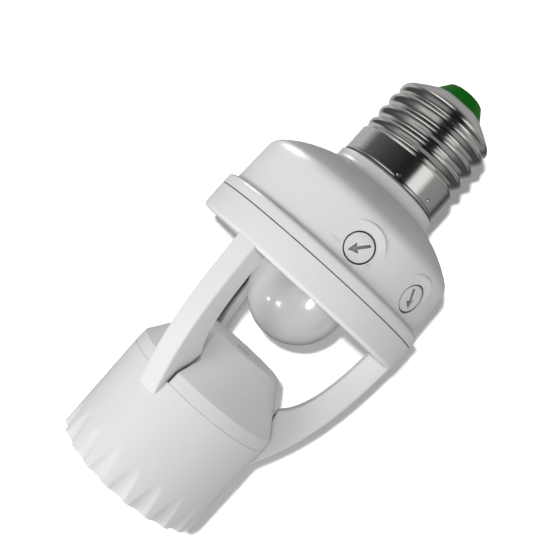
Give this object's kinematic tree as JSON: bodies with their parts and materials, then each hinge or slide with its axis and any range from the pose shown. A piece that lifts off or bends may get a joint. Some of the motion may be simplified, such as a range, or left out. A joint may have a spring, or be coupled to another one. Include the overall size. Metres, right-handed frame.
{
  "type": "motion sensor lamp holder",
  "caption": "Screw-in lamp holder with a round motion sensor housing, a dome lens, trim knobs, and a threaded lamp socket hung on curved arms.",
  "frame": {"origin": "centre of the socket's mouth, on the surface that its rim stands on", "axes": "+Z along the lamp axis towards the screw cap, -Y the front beside the time knob, +X the arm on the right"},
  "size_m": [0.0574, 0.0574, 0.1178],
  "materials": {
    "white_plastic": "satin moulded white",
    "cap_metal": "bright nickel plate on rolled sheet",
    "green_insulator": "glossy green",
    "contact_brass": "bright",
    "lens_plastic": "milky translucent",
    "board_green": "solder resist on glass fibre",
    "can_steel": "plated can",
    "dark_window": "dark infrared filter",
    "photocell": "photocell face",
    "relay_blue": "moulded blue",
    "film_yellow": "moulded yellow",
    "black_plastic": "black moulding and sleeve",
    "trimmer_blue": "moulded blue",
    "screw_steel": "zinc plated",
    "base_insulator": "pale grey heat-proof moulding",
    "socket_aluminium": "bright rolled sheet",
    "lead_sleeve": "black insulated wire"
  },
  "bodies": {
    "holder": {"lower_frame": "white_plastic", "socket_roof": "white_plastic", "upper_housing": "white_plastic", "cap_shell": "cap_metal", "cap_insulator": "green_insulator", "cap_contact": "contact_brass", "lens_dome": "lens_plastic", "circuit_board": "board_green", "pir_sensor": "can_steel", "pir_window": "dark_window", "light_sensor": "photocell", "relay": "relay_blue", "film_capacitor": "film_yellow", "smoothing_capacitor": "black_plastic", "bridge_rectifier": "black_plastic", "control_chip": "black_plastic", "time_trimmer": "trimmer_blue", "light_trimmer": "trimmer_blue", "housing_screws": "screw_steel", "socket_base": "base_insulator", "socket_shell": "socket_aluminium", "centre_contact": "contact_brass", "shell_bracket_a": "socket_aluminium", "shell_bracket_b": "socket_aluminium", "bracket_screws": "screw_steel", "supply_lead_live": "lead_sleeve", "supply_lead_neutral": "lead_sleeve", "lamp_lead_live": "lead_sleeve", "lamp_lead_neutral": "lead_sleeve"},
    "time_knob": {"time_knob": "white_plastic"},
    "light_knob": {"light_knob": "white_plastic"}
  },
  "joints": [
    {"name": "time_knob_turn", "type": "hinge", "parent": "holder", "child": "time_knob", "pos_m": [0.00384, -0.02635, 0.0721], "axis": [0.1444, -0.9895, 0], "range_deg": [-280, 4]},
    {"name": "light_knob_turn", "type": "hinge", "parent": "holder", "child": "light_knob", "pos_m": [0.01941, -0.01823, 0.0721], "axis": [0.729, -0.6845, 0], "range_deg": [-2, 282]}
  ]
}
